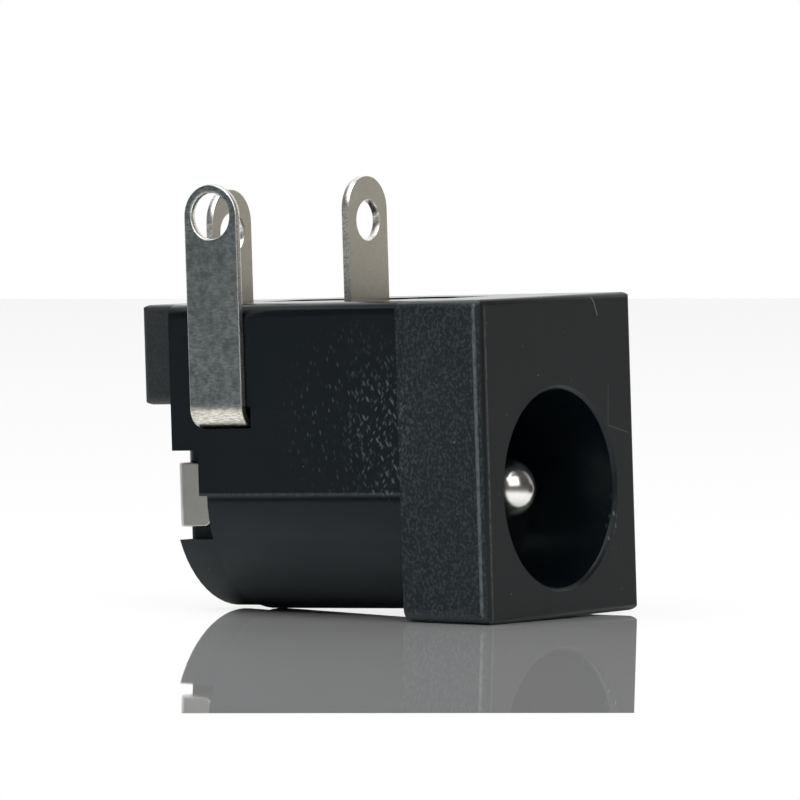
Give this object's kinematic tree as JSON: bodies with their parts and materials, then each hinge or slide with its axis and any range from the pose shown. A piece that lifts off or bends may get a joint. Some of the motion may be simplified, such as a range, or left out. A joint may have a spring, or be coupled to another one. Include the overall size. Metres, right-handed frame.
{
  "type": "dc barrel jack",
  "caption": "Board-mount power jack with a square front flange, a round plug socket round a centre pin, and flat solder tails on the board side.",
  "frame": {"origin": "centre of the plug socket's mouth, in the plane of the front face", "axes": "+X along the plug axis out of the mouth, +Z out of the board face, which the solder tails cross, and +Y to the side away from the switch terminal"},
  "size_m": [0.0146, 0.0092, 0.0146],
  "materials": {
    "housing_plastic": "black moulded thermoplastic, satin on the walls and fine spark-eroded grain on the flange",
    "terminal_plating": "punched sheet brass with dull bright plating, brushed faces and bright sheared edges",
    "pin_plating": "turned brass with polished nickel plating"
  },
  "bodies": {
    "root": {"housing": "housing_plastic", "centre_pin": "pin_plating", "centre_pin_terminal": "terminal_plating", "sleeve_spring_terminal": "terminal_plating", "switch_terminal": "terminal_plating"}
  },
  "joints": []
}
